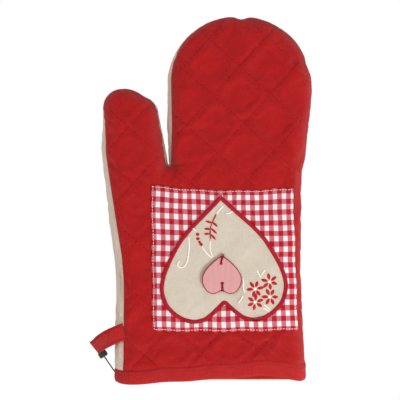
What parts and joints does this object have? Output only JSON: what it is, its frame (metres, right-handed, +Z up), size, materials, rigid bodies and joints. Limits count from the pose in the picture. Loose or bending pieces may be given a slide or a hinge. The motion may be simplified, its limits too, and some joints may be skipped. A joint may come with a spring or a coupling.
{
  "type": "oven mitt",
  "caption": "Quilted oven mitt with a bound cuff, hanging loop, and a check patch with an appliqued heart and a wooden heart button.",
  "frame": {"origin": "centre of the footprint, on the surface the mitt lies on, palm side down", "axes": "+Y from the cuff to the fingertips, +Z up out of the decorated front, thumb on the -X side"},
  "size_m": [0.183, 0.3, 0.0393],
  "materials": {
    "red_cotton": "matte woven cotton, quilted in large diamonds",
    "cream_cotton": "matte woven cotton",
    "wadding": "soft fibre wadding, hidden between the cloth layers",
    "lining": "matte plain cotton",
    "red_binding": "matte folded cotton strip",
    "gingham": "red and white woven check",
    "linen": "matte natural linen",
    "red_satin_thread": "close satin stitch with a slight sheen",
    "cream_thread": "stranded embroidery cotton",
    "dark_red_thread": "twisted sewing thread",
    "pink_wood": "painted thin wood with a burnt cut edge",
    "dark_plastic": "moulded, dull",
    "dark_cord": "thin round cord",
    "tag_card": "blank uncoated card"
  },
  "bodies": {
    "palm": {"front_panel_palm": "red_cotton", "front_wadding_palm": "wadding", "front_lining_palm": "lining", "back_panel_palm": "cream_cotton", "back_wadding_palm": "wadding", "back_lining_palm": "lining", "cuff_binding": "red_binding", "gingham_patch": "gingham", "heart_applique": "linen", "heart_border": "red_satin_thread", "heart_button": "pink_wood", "button_threads": "dark_red_thread", "embroidered_sprig": "red_satin_thread", "embroidered_buds": "red_satin_thread", "embroidered_flowers": "red_satin_thread", "embroidered_scrolls": "cream_thread", "tag_cord": "dark_cord", "hang_tag": "tag_card"},
    "fingers": {"front_panel_fingers": "red_cotton", "front_wadding_fingers": "wadding", "front_lining_fingers": "lining", "back_panel_fingers": "cream_cotton", "back_wadding_fingers": "wadding", "back_lining_fingers": "lining"},
    "thumb": {"front_panel_thumb": "red_cotton", "front_wadding_thumb": "wadding", "front_lining_thumb": "lining", "back_panel_thumb": "cream_cotton", "back_wadding_thumb": "wadding", "back_lining_thumb": "lining"},
    "loop": {"hanging_loop": "red_binding", "tag_lock": "dark_plastic"}
  },
  "joints": [
    {"name": "finger_fold", "type": "hinge", "parent": "palm", "child": "fingers", "pos_m": [0.03, 0.0303, 0.0343], "axis": [1, 0, 0], "range_deg": [0, 75]},
    {"name": "thumb_fold", "type": "hinge", "parent": "palm", "child": "thumb", "pos_m": [-0.0257, 0.0303, 0.0343], "axis": [0.9732, 0.23, 0], "range_deg": [0, 60]},
    {"name": "loop_swing", "type": "hinge", "parent": "palm", "child": "loop", "pos_m": [-0.0633, -0.107, 0.0329], "axis": [0, 1, 0], "range_deg": [0, 90], "deforming": ["tag_cord"]}
  ]
}
